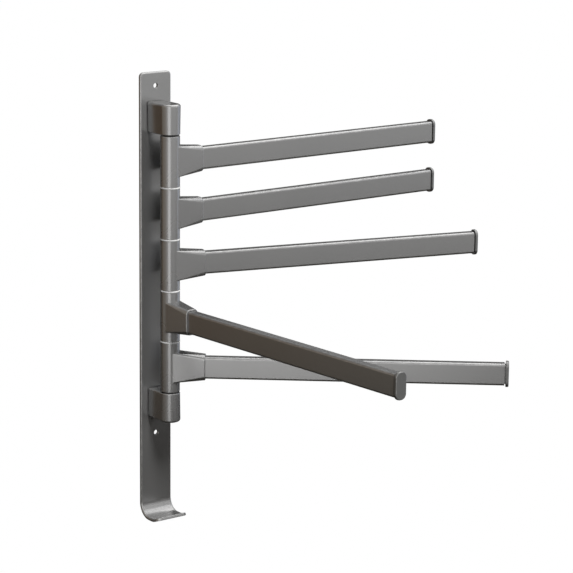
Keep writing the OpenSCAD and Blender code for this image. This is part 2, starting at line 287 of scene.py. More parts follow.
# %% Read the places from the frame
WALL_BODY = "wall_frame"
swings = frame["joints"]
arm_count = len(swings)
post_y = swings[0]["pos_m"][1]
plate_low, plate_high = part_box("back_plate")
hub_low, hub_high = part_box("hub_1")
cap_low, cap_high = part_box("end_cap_1")
arm_low, arm_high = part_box("arm_1")
rod_low, rod_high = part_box("pivot_rod")
arm_reach = cap_high.x


def arm_turn(swing):
    """How far an arm is turned from flat along the wall."""
    return -math.radians(swing["range_deg"][1])


def arm_matrix(swing):
    """From an arm's own space, with the post at its origin and the arm along X, to the part's space."""
    return Matrix.Translation(swing["pos_m"]) @ Matrix.Rotation(arm_turn(swing), 4, "Z")


print(f"post {-post_y / MM:.1f} mm from the wall, arms reach {arm_reach / MM:.1f} mm from the post")

# %% [markdown]
# Mesh helpers
#
# Most pieces of the bar are drawn as a stack of rings: a round section for what is turned, a rounded
# rectangle for what is cast or pressed. Skinning rings by hand keeps every edge radius exact, which a
# bevel over a boolean would not. Two attributes are stored: own_place on the points, where each was
# before the piece was turned, so grain runs along a turned arm, and edge_share on the faces, which marks
# the rounded edges.

# %% Draw rings and skin them
bar_corner_steps = 8
sharpest_corner = 0.2 * MM
edge_steps = 6


def round_rings(profile, steps):
    """Circles about Z through (radius, height) pairs."""
    turns = [2 * math.pi * i / steps for i in range(steps)]
    return [[Vector((radius * math.cos(t), radius * math.sin(t), height)) for t in turns]
            for radius, height in profile]


def bar_ring(width, height, corner, along):
    """A rounded rectangle square to X: its width lies along Y and its height along Z."""
    ring = []
    for quarter in range(4):
        side_y = 1 if quarter in (0, 3) else -1
        side_z = 1 if quarter < 2 else -1
        centre = Vector((along, side_y * (width / 2 - corner), side_z * (height / 2 - corner)))
        for i in range(bar_corner_steps + 1):
            turn = math.pi / 2 * (quarter + i / bar_corner_steps)
            ring.append(centre + Vector((0, corner * math.cos(turn), corner * math.sin(turn))))
    return ring


def inset_rings(width, height, corner, places):
    """Rounded rectangles through (inset, along) pairs. Each is drawn in by its inset on every side."""
    return [bar_ring(width - 2 * inset, height - 2 * inset, max(corner - inset, sharpest_corner), along)
            for inset, along in places]


def rounding(radius, steps=edge_steps):
    """A rounded edge from its face to its side, as (distance from the side, distance from the face)."""
    turns = [math.pi / 2 * i / steps for i in range(steps + 1)]
    return [(radius * (1 - math.sin(t)), radius * (1 - math.cos(t))) for t in turns]


def join_loops(bm, loops):
    """Faces between each loop and the next."""
    for near, far in zip(loops, loops[1:]):
        for i in range(len(near)):
            j = (i + 1) % len(near)
            bm.faces.new((near[i], near[j], far[j], far[i]))


def skin(rings, closed=False):
    """A mesh through rings of equally many points. Its ends are capped, or joined where it is closed."""
    bm = bmesh.new()
    loops = [[bm.verts.new(p) for p in ring] for ring in rings]
    if closed:
        join_loops(bm, loops + loops[:1])
    else:
        join_loops(bm, loops)
        bm.faces.new(loops[0])
        bm.faces.new(loops[-1])
    bmesh.ops.recalc_face_normals(bm, faces=bm.faces)
    return bm


def as_object(name, bm):
    """Puts a mesh under construction into the scene as an object."""
    mesh = bpy.data.meshes.new(name)
    bm.to_mesh(mesh)
    bm.free()
    return in_scene(name, mesh)


print("helpers: rings, skin and objects")

# %% Apply modifiers, mark edges and place a piece
CREASE = math.radians(33)
flattest_edge = 1 / (8 * MM)
tightest_edge = 1 / (3 * MM)
sliver = 0.02 * MM


def settle(made):
    """Turns what the modifiers show into a plain mesh and removes the modifiers."""
    depsgraph = bpy.context.evaluated_depsgraph_get()
    mesh = bpy.data.meshes.new_from_object(made.evaluated_get(depsgraph))
    made.modifiers.clear()
    made.data = mesh


def opened(mesh):
    """A mesh as a bmesh, with its faces turned outwards."""
    bm = bmesh.new()
    bm.from_mesh(mesh)
    bmesh.ops.recalc_face_normals(bm, faces=bm.faces)
    return bm


def face_outwards(mesh):
    """Turns all faces of a closed mesh outwards."""
    bm = opened(mesh)
    bm.to_mesh(mesh)
    bm.free()


def mark_edges(mesh):
    """Stores for each face how much it is part of a rounded edge: how far it bends over its width."""
    bm = opened(mesh)
    shares = []
    for face in bm.faces:
        bend = sum(e.calc_face_angle(0) * e.calc_length() for e in face.edges) / 2
        curvature = bend / max(face.calc_area(), sliver ** 2)
        shares.append(min(1, max(0, (curvature - flattest_edge) / (tightest_edge - flattest_edge))))
    bm.free()
    edge = mesh.attributes.new("edge_share", "FLOAT", "FACE")
    edge.data.foreach_set("value", shares)


def mark_places(mesh):
    """Stores each point's own place before the piece is turned, and its edges."""
    mark_edges(mesh)
    place = mesh.attributes.new("own_place", "FLOAT_VECTOR", "POINT")
    place.data.foreach_set("vector", [c for v in mesh.vertices for c in v.co])


def dress(made, material, body, nodes_replaced, matrix=Matrix()):
    """Shades a finished piece, puts it in its place and hands it to the body that carries it."""
    mesh = made.data
    if "own_place" not in mesh.attributes:
        mark_places(mesh)
    mesh.transform(matrix)
    mesh.shade_smooth()
    mesh.set_sharp_from_angle(angle=CREASE)
    mesh.materials.clear()
    mesh.materials.append(material)
    weighted = made.modifiers.new("flat faces stay flat", "WEIGHTED_NORMAL")
    weighted.keep_sharp = True
    weighted.mode = "FACE_AREA"
    settle(made)
    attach(made, body)
    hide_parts(*nodes_replaced)


def drop_slivers(mesh):
    """Joins points that a boolean left almost on top of each other, and so removes slivers."""
    bm = bmesh.new()
    bm.from_mesh(mesh)
    bmesh.ops.remove_doubles(bm, verts=bm.verts, dist=sliver)
    bmesh.ops.dissolve_degenerate(bm, edges=bm.edges, dist=sliver)
    bm.to_mesh(mesh)
    bm.free()


def cut(made, tool, operation="DIFFERENCE"):
    """Takes a tool's shape out of a piece, or adds it, and deletes the tool."""
    boolean = made.modifiers.new(operation.lower(), "BOOLEAN")
    boolean.operation = operation
    boolean.solver = "EXACT"
    boolean.object = tool
    settle(made)
    bpy.data.objects.remove(tool)
    drop_slivers(made.data)


print("helpers: settle, mark, dress and cut")

# %% [markdown]
# Shared surface effects
#
# The whole bar has one satin finish, so its grain is a shader group that every metal material places with
# its own values. The first group gives the fine blasted grain and the slow cloudiness of a hand-wiped
# surface. The second gives the faint lines that a drawn tube or a rolled strip keeps along its length.
# The third finds the rounded edges, whose lighter tone stands for polish from handling and is also a painted
# highlight.

# %% Start a node group


def new_group(name, kind, inputs, outputs):
    """A node group with its sockets, each a name with its kind, and what arrives at its inputs."""
    group = bpy.data.node_groups.new(name, kind)
    for side, sockets in (("INPUT", inputs), ("OUTPUT", outputs)):
        for label, socket_kind in sockets.items():
            group.interface.new_socket(label, in_out=side, socket_type="NodeSocket" + socket_kind)
    return group, node(group, "NodeGroupInput").outputs


def noise(group, place, scale, detail, roughness=0.5):
    """A noise texture that reads its place from a socket."""
    return node(group, "ShaderNodeTexNoise", [
        ("Vector", place), ("Scale", scale), ("Detail", detail), ("Roughness", roughness)])


def spread(group, value, band):
    """Stretches the values in a band to 0..1."""
    return node(group, "ShaderNodeMapRange", [
        ("Value", value), ("From Min", band[0]), ("From Max", band[1])])


print("helpers: group, noise and spread")

# %% Blasted grain and clouds
cloud_band = (0.3, 0.7)
grain_group, entry = new_group(
    "blasted_grain", "ShaderNodeTree",
    {"Place": "Vector", "Grain Scale": "Float", "Cloud Scale": "Float"},
    {"Height": "Float", "Cloud": "Float"})
fine = noise(grain_group, entry["Place"], entry["Grain Scale"], detail=3.0, roughness=0.6)
cloud = noise(grain_group, entry["Place"], entry["Cloud Scale"], detail=1.0)
node(grain_group, "NodeGroupOutput", [("Height", fine), ("Cloud", spread(grain_group, cloud, cloud_band))])
print("group:", grain_group.name)

# %% Lines along the length
lines_group, entry = new_group(
    "drawn_lines", "ShaderNodeTree", {"Place": "Vector", "Stretch": "Vector"}, {"Height": "Float"})
stretched = node(lines_group, "ShaderNodeVectorMath", [
    (0, entry["Place"]), (1, entry["Stretch"])], operation="MULTIPLY")
node(lines_group, "NodeGroupOutput", [("Height", noise(lines_group, stretched, scale=1.0, detail=2.0))])
print("group:", lines_group.name)

# %% Polished edges and painted edge highlights
patch_band = (0.35, 0.65)
rub_and_highlight_group, entry = new_group(
    "edge_rub_and_highlight", "ShaderNodeTree", {"Place": "Vector", "Edge": "Float"}, {"Rub And Highlight": "Float"})
# The patches on rounded edges mark where the edge tone goes: polished wear, and also a painted highlight.
patches = spread(rub_and_highlight_group, noise(rub_and_highlight_group, entry["Place"], scale=160.0, detail=3.0), patch_band)
node(rub_and_highlight_group, "NodeGroupOutput", [("Rub And Highlight", arithmetic(rub_and_highlight_group, "MULTIPLY", entry["Edge"], patches))])
print("group:", rub_and_highlight_group.name)

# %% [markdown]
# Satin gunmetal
#
# Gunmetal plating is a dark neutral metal under a thin smoky layer. The layer scatters some light, so
# the finish is mostly metallic and partly matt: shaded sides turn brown-black instead of mirroring the
# room. Metallic is a plain number in each material, while colour, roughness and bump vary with the
# groups above. A cast hub, a drawn arm and a rolled plate share the recipe with different grain.

# %% The recipe for a satin metal
grain_scale = 2200.0
cloud_scale = 14.0


def attribute(tree, name):
    """What a stored attribute gives."""
    return node(tree, "ShaderNodeAttribute", attribute_name=name).outputs


def colour_mix(tree, factor, first, second):
    """A colour between two others."""
    mix = node(tree, "ShaderNodeMix", [("Factor", factor), ("A", first), ("B", second)], data_type="RGBA")
    return mix.outputs["Result"]


def satin_metal(name, colours, metallic, rough, stretch,
                grain_depth=0.003 * MM, line_depth=0.002 * MM, dressed=True):
    """A satin metal: its colour drifts from dark to light and turns to its edge tone on rounded edges, a painted
    highlight as well as polished wear.
    """
    dark, light, rubbed_and_highlit = ((*colour, 1) for colour in colours)
    material, tree = empty_material(name)
    if dressed:
        place = attribute(tree, "own_place")["Vector"]
    else:
        place = node(tree, "ShaderNodeTexCoord").outputs["Object"]
    grain = node(tree, "ShaderNodeGroup", node_tree=grain_group, inputs=[
        ("Place", place), ("Grain Scale", grain_scale), ("Cloud Scale", cloud_scale)])
    lines = node(tree, "ShaderNodeGroup", node_tree=lines_group, inputs=[
        ("Place", place), ("Stretch", stretch)])
    rub_and_highlight = node(tree, "ShaderNodeGroup", node_tree=rub_and_highlight_group, inputs=[
        ("Place", place), ("Edge", attribute(tree, "edge_share")["Fac"])])
    cloud = grain.outputs["Cloud"]
    # On rounded edges the colour turns to the third tone, which paints a highlight there as well as polish.
    colour = colour_mix(tree, rub_and_highlight, colour_mix(tree, cloud, dark, light), rubbed_and_highlit)
    roughness = node(tree, "ShaderNodeMapRange", [
        ("Value", cloud), ("To Min", rough[0]), ("To Max", rough[1])])
    bump = node(tree, "ShaderNodeBump", [("Distance", line_depth), ("Height", lines)])
    bump = node(tree, "ShaderNodeBump", [("Distance", grain_depth), ("Height", grain), ("Normal", bump)])
    surface = node(tree, "ShaderNodeBsdfPrincipled", [
        ("Base Color", colour), ("Metallic", metallic), ("Roughness", roughness), ("Normal", bump)])
    node(tree, "ShaderNodeOutputMaterial", [("Surface", surface)])
    return material


print("recipe: satin metal")

# %% Gunmetal for each way of making
# The third colour of each list is the tone of rounded edges: a painted highlight as well as polished wear.
gunmetal = [(0.266, 0.265, 0.263), (0.274, 0.272, 0.27), (0.33, 0.328, 0.324)]
cap_tones = [(0.17, 0.17, 0.167), (0.18, 0.18, 0.177), (0.24, 0.24, 0.235)]
gunmetal_share = 0.72
cast_stretch = (300.0, 300.0, 300.0)
plate_metal = satin_metal(
    "rolled_gunmetal", gunmetal, gunmetal_share, rough=(0.295, 0.305), stretch=(1600.0, 12.0, 1600.0))
cast_metal = satin_metal(
    "cast_gunmetal", gunmetal, gunmetal_share, rough=(0.265, 0.275), stretch=cast_stretch,
    grain_depth=0.004 * MM, line_depth=0.001 * MM)
drawn_metal = satin_metal(
    "drawn_gunmetal", gunmetal, gunmetal_share, rough=(0.28, 0.29), stretch=(12.0, 1600.0, 1600.0))
cap_paint = satin_metal(
    "painted_cap", cap_tones, metallic=0.62, rough=(0.36, 0.38), stretch=cast_stretch,
    grain_depth=0.006 * MM, line_depth=0.001 * MM)
print("finishes:", plate_metal.name, cast_metal.name, drawn_metal.name, cap_paint.name)

# %% Steel, washers and screws
steel_tones = [(0.5, 0.5, 0.51), (0.58, 0.58, 0.59), (0.66, 0.66, 0.67)]
zinc_tones = [(0.33, 0.33, 0.34), (0.4, 0.4, 0.41), (0.55, 0.55, 0.56)]
acetal_tones = [(0.72, 0.72, 0.715), (0.76, 0.76, 0.755), (0.7, 0.7, 0.69)]
# The near-black of the thrust washers is painted shade for the dark gaps at both ends of the hub stack.
gap_shade_black_tones = [(0.02, 0.02, 0.02), (0.03, 0.03, 0.03), (0.05, 0.05, 0.05)]
washer_stretch = (60.0, 60.0, 2400.0)
turned_steel = satin_metal(
    "turned_steel", steel_tones, metallic=1.0, rough=(0.22, 0.3), stretch=(20.0, 20.0, 2400.0),
    grain_depth=0.001 * MM, line_depth=0.004 * MM, dressed=False)
zinc_steel = satin_metal(
    "zinc_screw_steel", zinc_tones, metallic=1.0, rough=(0.3, 0.4), stretch=(600.0, 600.0, 40.0))
acetal = satin_metal(
    "off_white_acetal", acetal_tones, metallic=0.0, rough=(0.42, 0.5), stretch=washer_stretch)
black_nylon_gap_shade = satin_metal(
    "black_nylon_gap_shade", gap_shade_black_tones, metallic=0.0, rough=(0.45, 0.55), stretch=washer_stretch)
print("finishes:", turned_steel.name, zinc_steel.name, acetal.name, black_nylon_gap_shade.name)

# %% [markdown]
# Back plate and hook
#
# The plate and its hook are one strip of flat metal. It is cut flat, its holes are punched, its edges are
# rounded, and then its lower end is bent twice. The mesh is made in the same order: a flat blank with
# coordinates across, along and through the strip, sliced where it bends, and then laid along the path of
# the bent strip. Bending a flat blank keeps the width and the edge radius the same all the way round.

# %% Sizes of the strip
plate_w = plate_high.x - plate_low.x
plate_t = 3 * MM
plate_corner = 4.5 * MM
hook_corner = 6 * MM
front_edge = 1.6 * MM
back_edge = 0.4 * MM
tip_edge = 0.5 * MM
hook_bend_r = 13 * MM
hook_floor = 5 * MM
hook_lip_bend_r = 15.5 * MM
hook_lip_angle = math.radians(20)
hook_lip = 6 * MM
plate_mid = plate_t / 2
bend_mid_r = hook_bend_r + plate_mid
lip_mid_r = hook_lip_bend_r + plate_mid
bend_top_z = plate_low.z + plate_t + hook_bend_r
straight_len = plate_high.z - bend_top_z
bend_len = bend_mid_r * math.pi / 2
lip_bend_len = lip_mid_r * hook_lip_angle
bend_end = straight_len + bend_len
floor_end = bend_end + hook_floor
lip_bend_end = floor_end + lip_bend_len
strip_len = lip_bend_end + hook_lip + plate_mid


def bent(point):
    """Takes a point of the flat blank, (across, along, through), to its place on the bent strip."""
    across, along, through = point
    if along <= straight_len:
        return Vector((across, -plate_mid - through, plate_high.z - along))
    floor_y = -plate_t - hook_bend_r
    if along <= bend_end:
        turn = (along - straight_len) / bend_mid_r
        reach = bend_mid_r - through
        return Vector((across, floor_y + reach * math.cos(turn), bend_top_z - reach * math.sin(turn)))
    floor_mid_z = bend_top_z - bend_mid_r
    if along <= floor_end:
        return Vector((across, floor_y - (along - bend_end), floor_mid_z + through))
    lip_y = floor_y - hook_floor
    lip_z = floor_mid_z + lip_mid_r
    turn = min((along - floor_end) / lip_mid_r, hook_lip_angle)
    past = max(along - lip_bend_end, 0)
    reach = lip_mid_r - through
    return Vector((across, lip_y - reach * math.sin(turn) - past * math.cos(turn),
                   lip_z - reach * math.cos(turn) + past * math.sin(turn)))


print(f"strip: {strip_len / MM:.1f} mm long before it is bent")

# %% Helpers for the flat blank
corner_steps = 10
hole_steps = 48


def blank_outline():
    """The outline of the blank, each point with its outward direction."""
    ends = ((plate_corner, plate_corner), (strip_len - hook_corner, hook_corner))
    for quarter in range(4):
        side = 1 if quarter in (1, 2) else -1
        along, radius = ends[quarter // 2]
        for i in range(corner_steps + 1):
            turn = math.pi + math.pi / 2 * (quarter + i / corner_steps)
            out = Vector((math.cos(turn), math.sin(turn), 0))
            yield Vector((side * (plate_w / 2 - radius), along, 0)) + radius * out, out


def blank_ring(edge, step, face):
    """The outline at one step of a rounded edge: face is 1 at the front and -1 at the back."""
    from_side, from_face = step
    ring = []
    for point, out in blank_outline():
        near_tip = min(1, max(0, 1 - (strip_len - point.y) / hook_lip))
        radius = edge + (tip_edge - edge) * near_tip
        through = face * (plate_mid - radius * from_face)
        ring.append(point - out * radius * from_side + Vector((0, 0, through)))
    return ring


def hole_loops(bm, along, profile):
    """The wall of a hole through the blank, from its loop on the back to its loop on the front."""
    middle = Vector((0, along, 0))
    loops = [[bm.verts.new(middle + p) for p in ring] for ring in round_rings(profile, hole_steps)]
    join_loops(bm, loops)
    return loops[0], loops[-1]


def loop_edges(bm, loop):
    """The edges round a loop of points."""
    return [bm.edges.get((loop[i - 1], loop[i])) for i in range(len(loop))]


print("helpers: outline, rings and holes of the blank")

# %% Draw the flat blank
bracket_boxes = [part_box("top_bracket"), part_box("bottom_bracket")]
bracket_h = bracket_boxes[0][1].z - bracket_boxes[0][0].z
bracket_screw_shares = (0.27, 1 - 0.27)
bracket_screw_r = 2 * MM
bracket_head_r = 2 * bracket_screw_r
bracket_head_h = bracket_head_r - bracket_screw_r
screw_gap = 0.05 * MM
hole_edge = 0.25 * MM
wall_holes = frame["record"]["mounts"][0]["dims"]
wall_hole_r = wall_holes["hole_r_mm"] * MM
half_spacing = wall_holes["spacing_y_mm"] * MM / 2
bracket_screw_heights = [low.z + share * bracket_h for low, high in bracket_boxes
                         for share in bracket_screw_shares]
plain = [(wall_hole_r + hole_edge, -plate_mid), (wall_hole_r, hole_edge - plate_mid),
         (wall_hole_r, plate_mid - hole_edge), (wall_hole_r + hole_edge, plate_mid)]
countersunk = [(bracket_head_r + screw_gap, -plate_mid),
               (bracket_screw_r + screw_gap, bracket_head_h - plate_mid),
               (bracket_screw_r + screw_gap, plate_mid)]
holes = [(z, plain) for z in (half_spacing, -half_spacing)]
holes += [(z, countersunk) for z in bracket_screw_heights]

blank = bmesh.new()
steps = rounding(1)
rings = [blank_ring(back_edge, step, -1) for step in steps]
rings += [blank_ring(front_edge, step, 1) for step in reversed(steps)]
outline_loops = [[blank.verts.new(p) for p in ring] for ring in rings]
join_loops(blank, outline_loops)
back_edges, front_edges = (loop_edges(blank, outline_loops[end]) for end in (0, -1))
for z, profile in holes:
    back_loop, front_loop = hole_loops(blank, plate_high.z - z, profile)
    back_edges += loop_edges(blank, back_loop)
    front_edges += loop_edges(blank, front_loop)
for edges in (back_edges, front_edges):
    bmesh.ops.triangle_fill(blank, use_beauty=True, edges=edges)
print(f"blank: {len(holes)} holes, {len(blank.faces)} faces")

# %% Slice the blank where it bends, and bend it
bend_steps = 24
lip_steps = 8
slices = [straight_len + bend_len * i / bend_steps for i in range(bend_steps + 1)]
slices += [floor_end + lip_bend_len * i / lip_steps for i in range(lip_steps + 1)]
for along in slices:
    everything = blank.verts[:] + blank.edges[:] + blank.faces[:]
    bmesh.ops.bisect_plane(blank, geom=everything, plane_co=(0, along, 0), plane_no=(0, 1, 0))
plate_piece = as_object("plate_strip", blank)
mark_places(plate_piece.data)
for vert in plate_piece.data.vertices:
    vert.co = bent(vert.co)
face_outwards(plate_piece.data)
dress(plate_piece, plate_metal, WALL_BODY, ["back_plate"])
print(f"plate: {len(plate_piece.data.polygons)} faces")

# %% [markdown]
# Brackets
#
# Two cast blocks hold the post in front of the plate. Seen from above each is a D: half round in front,
# with flat sides that run back to the plate. The outer rim is well rounded and the rim beside the hub has
# only a broken edge, which catches a thin line of light. Its foot is a little narrower than the block and
# leaves a dark line at the plate. Rings of the D outline give all of this exactly.

# %% Shape a bracket
rod_r = (rod_high.x - rod_low.x) / 2
rod_gap = 0.05 * MM
bore_spare = 0.6 * MM
hub_r = post_y - hub_low.y
bracket_proud = 0.2 * MM
bracket_inner_r = hub_r + bracket_proud
bracket_outer_r = (bracket_boxes[0][1].x - bracket_boxes[0][0].x) / 2
bracket_rim_r = 2.5 * MM
bracket_near_edge = 0.9 * MM
bracket_back = -plate_t - post_y
bracket_foot_h = 1.4 * MM
bracket_foot_inset = 1.2 * MM
bracket_foot_trace = 0.01 * MM
bracket_screw_grip = 12 * MM
overrun = 0.5 * MM
round_steps = 96
half_round_steps = 48


def d_ring(radius, height, foot_h):
    """A half circle in front of the post, with straight sides back to a narrower foot on the plate."""
    turns = [-math.pi * i / half_round_steps for i in range(half_round_steps + 1)]
    ring = [Vector((radius * math.cos(t), radius * math.sin(t), height)) for t in turns]
    sole_half = bracket_inner_r - bracket_foot_inset
    shoulder = bracket_back - bracket_foot_h
    sole = shoulder + foot_h
    foot = [(-radius, shoulder), (-sole_half, shoulder), (-sole_half, sole),
            (sole_half, sole), (sole_half, shoulder), (radius, shoulder)]
    return ring + [Vector((x, y, height)) for x, y in foot]


def bracket_shape(up):
    """A bracket that grows up (1) or down (-1) from the rim beside the hub."""
    near_rim = [(bracket_inner_r - inset, height) for inset, height in rounding(bracket_near_edge)]
    far_rim = [(bracket_outer_r - inset, bracket_h - down) for inset, down in rounding(bracket_rim_r)[::-1]]
    foot_ends = [(bracket_inner_r, bracket_foot_inset), (bracket_outer_r, bracket_h - bracket_rim_r)]
    levels = [(near_rim + foot_ends[:1], bracket_foot_trace), (foot_ends, bracket_foot_h),
              (foot_ends[1:] + far_rim[1:], bracket_foot_trace)]
    return skin([d_ring(radius, up * height, foot_h) for places, foot_h in levels
                 for radius, height in places])


def round_tool(radius, start, end):
    """A plain round cutter along Z."""
    return as_object("cutter", skin(round_rings([(radius, start), (radius, end)], round_steps)))


print(f"bracket: {2 * bracket_outer_r / MM:.1f} mm wide, {bracket_h / MM:.0f} mm high")

# %% Drill and place both brackets
rod_depth = rod_high.z - bracket_boxes[0][0].z + bore_spare
for name, up, (low, high) in zip(("top_bracket", "bottom_bracket"), (1, -1), bracket_boxes):
    bracket = as_object(name + "_cast", bracket_shape(up))
    cut(bracket, round_tool(rod_r + rod_gap, -up * overrun, up * rod_depth))
    for share in bracket_screw_shares:
        drill = round_tool(bracket_screw_r + screw_gap, -overrun, bracket_screw_grip + overrun)
        at_screw = Matrix.Translation((0, bracket_back, up * share * bracket_h))
        drill.data.transform(at_screw @ Matrix.Rotation(math.pi / 2, 4, "X"))
        cut(bracket, drill)
    base = low.z if up > 0 else high.z
    dress(bracket, cast_metal, WALL_BODY, [name], Matrix.Translation((0, post_y, base)))
    print(f"{bracket.name}: {len(bracket.data.polygons)} faces")

# %% [markdown]
# Hubs with their sockets
#
# Each hub is one casting: a sleeve on the post and a tapered socket that grips the arm. The socket's long
# edges are nearly sharp where they leave the sleeve and well rounded at the mouth, which draws a wedge of
# light along the top. Sleeve and socket are joined by a boolean, and the bore, the pocket for the arm and
# the hole of the set screw are cut out of them. All five castings are alike, so one mesh is made and
# copied.

# %% Shape a socket and its pocket
push_gap = 0.1 * MM
arm_h = arm_high.z - arm_low.z
arm_w = arm_high.y - arm_low.y
arm_corner = 2.4 * MM
socket_reach = hub_high.x
socket_wall = 1.8 * MM
socket_floor = arm_low.x - push_gap
socket_root_w_share = 0.96
socket_root_w = 2 * hub_r * socket_root_w_share
socket_root_h = 32 * MM
socket_root_edge = 0.5 * MM
socket_mouth_w = arm_w + 2 * (push_gap + socket_wall)
socket_mouth_h = arm_h + 2 * (push_gap + socket_wall)
socket_mouth_edge = 5 * MM
socket_rim_r = 0.8 * MM
taper_steps = 12
pocket_chamfer = 0.25 * MM


def socket_shape():
    """The socket from the post's axis to its mouth, with even steps of width, height, edge and place."""
    root = Vector((socket_root_w, socket_root_h, socket_root_edge, 0))
    mouth = Vector((socket_mouth_w, socket_mouth_h, socket_mouth_edge, socket_reach - socket_rim_r))
    taper = [bar_ring(*root.lerp(mouth, i / taper_steps)) for i in range(taper_steps + 1)]
    rim = [(inset, socket_reach - back) for inset, back in rounding(socket_rim_r)[::-1]]
    return skin(taper + inset_rings(socket_mouth_w, socket_mouth_h, socket_mouth_edge, rim[1:]))


def pocket_shape():
    """The cutter of the pocket that the arm is pushed into, a little wider at its mouth."""
    places = [(-push_gap, socket_floor), (-push_gap, socket_reach - pocket_chamfer),
              (-push_gap - pocket_chamfer - overrun, socket_reach + overrun)]
    return skin(inset_rings(arm_w, arm_h, arm_corner, places))


print(f"socket: {socket_root_h / MM:.0f} mm high at the post, {socket_mouth_h / MM:.1f} mm at its mouth")

# %% Cast one hub
hub_chamfer = 0.6 * MM
hub_chamfer_steps = 3
set_screw_r = 2 * MM
set_screw_share = 0.45
socket_depth = 22 * MM
set_screw_x = socket_reach - socket_depth * set_screw_share
half_h = (hub_high.z - hub_low.z) / 2


def sleeve_end(side):
    """The profile of one end of the sleeve, from its face to its side."""
    chamfer = rounding(hub_chamfer, hub_chamfer_steps)
    return [(hub_r - inset, side * (half_h - depth)) for inset, depth in chamfer]


sleeve_profile = sleeve_end(-1) + sleeve_end(1)[::-1]
hub_master = as_object("hub_master", skin(round_rings(sleeve_profile, round_steps)))
cut(hub_master, as_object("socket", socket_shape()), "UNION")
cut(hub_master, round_tool(rod_r + rod_gap, -half_h - overrun, half_h + overrun))
cut(hub_master, as_object("pocket", pocket_shape()))
screw_drill = round_tool(set_screw_r + screw_gap, -socket_root_h / 2 - overrun, -arm_h / 2 + overrun)
screw_drill.data.transform(Matrix.Translation((set_screw_x, 0, 0)))
cut(hub_master, screw_drill)
print(f"hub master: {len(hub_master.data.polygons)} faces")

# %% Put a hub on the post for each arm
for number, swing in enumerate(swings, 1):
    casting = in_scene(f"hub_{number}_cast", hub_master.data.copy())
    dress(casting, cast_metal, swing["child"], [f"hub_{number}"], arm_matrix(swing))
bpy.data.objects.remove(hub_master)
print(f"hubs: {arm_count} castings on the post")

# %% [markdown]
# Arms
#
# An arm is a drawn tube with a rounded rectangular section. Its whole shape follows one rule, a section
# carried along a line, so Geometry Nodes make it: two rounded rectangles are filled to a ring, the ring
# is extruded to the tube's length, and the result is turned and carried to its place on the post. The
# sizes are the modifier's inputs, and the same tree makes all five arms.

# %% Helpers for geometry trees


def end_tree(tree, geometry, finish):
    """Ends a tree: its result is made real and takes a material."""
    realized = node(tree, "GeometryNodeRealizeInstances", [("Geometry", geometry)])
    painted = node(tree, "GeometryNodeSetMaterial", [("Geometry", realized), ("Material", finish)])
    node(tree, "NodeGroupOutput", [(0, painted)])


def run_tree(made, tree, values):
    """Runs a tree on an object with values for its named inputs, and keeps the plain mesh."""
    modifier = made.modifiers.new(tree.name, "NODES")
    modifier.node_group = tree
    for socket in tree.interface.items_tree:
        if socket.item_type == "SOCKET" and socket.in_out == "INPUT" and socket.name in values:
            modifier[socket.identifier] = values[socket.name]
    settle(made)


print("helpers: end and run a geometry tree")

# %% Draw the tree of a tube
tube_tree, size = new_group(
    "drawn_tube", "GeometryNodeTree",
    {"Geometry": "Geometry", "Start": "Float", "End": "Float", "Height": "Float", "Width": "Float",
     "Wall": "Float", "Corner Radius": "Float", "Corner Steps": "Int", "Place": "Vector", "Turn": "Vector",
     "Metal": "Material"},
    {"Geometry": "Geometry"})
weld_distance = 0.001 * MM


def section(width, height, corner):
    """A rounded rectangle in the plane of X and Y."""
    outline = node(tube_tree, "GeometryNodeCurvePrimitiveQuadrilateral", [
        ("Width", width), ("Height", height)])
    return node(tube_tree, "GeometryNodeFilletCurve", [
        ("Curve", outline), ("Count", size["Corner Steps"]), ("Radius", corner)], mode="POLY")


def less(first, second):
    """The difference of two sizes."""
    return arithmetic(tube_tree, "SUBTRACT", first, second)


both_walls = arithmetic(tube_tree, "MULTIPLY", size["Wall"], 2)
outer = section(size["Height"], size["Width"], size["Corner Radius"])
inner = section(less(size["Height"], both_walls), less(size["Width"], both_walls),
                less(size["Corner Radius"], size["Wall"]))
outlines = node(tube_tree, "GeometryNodeJoinGeometry", [(0, inner), (0, outer)])
ring_face = node(tube_tree, "GeometryNodeFillCurve", [("Curve", outlines)], mode="TRIANGLES")
drawn = node(tube_tree, "GeometryNodeExtrudeMesh", mode="FACES", inputs=[
    ("Mesh", ring_face), ("Offset Scale", less(size["End"], size["Start"])), ("Individual", False)])
first_end = node(tube_tree, "GeometryNodeFlipFaces", [("Mesh", ring_face)])
parts = node(tube_tree, "GeometryNodeJoinGeometry", [(0, first_end), (0, drawn)])
welded = node(tube_tree, "GeometryNodeMergeByDistance", [("Geometry", parts), ("Distance", weld_distance)])
start = node(tube_tree, "ShaderNodeCombineXYZ", [("X", size["Start"])])
along_x = node(tube_tree, "GeometryNodeTransform", [
    ("Geometry", welded), ("Rotation", (0, math.pi / 2, 0)), ("Translation", start)])
position = node(tube_tree, "GeometryNodeInputPosition")
placed = node(tube_tree, "GeometryNodeStoreNamedAttribute", data_type="FLOAT_VECTOR", inputs=[
    ("Geometry", along_x), ("Name", "own_place"), ("Value", position)])
on_post = node(tube_tree, "GeometryNodeTransform", [
    ("Geometry", placed), ("Translation", size["Place"]), ("Rotation", size["Turn"])])
end_tree(tube_tree, on_post, size["Metal"])
print("tree:", tube_tree.name)

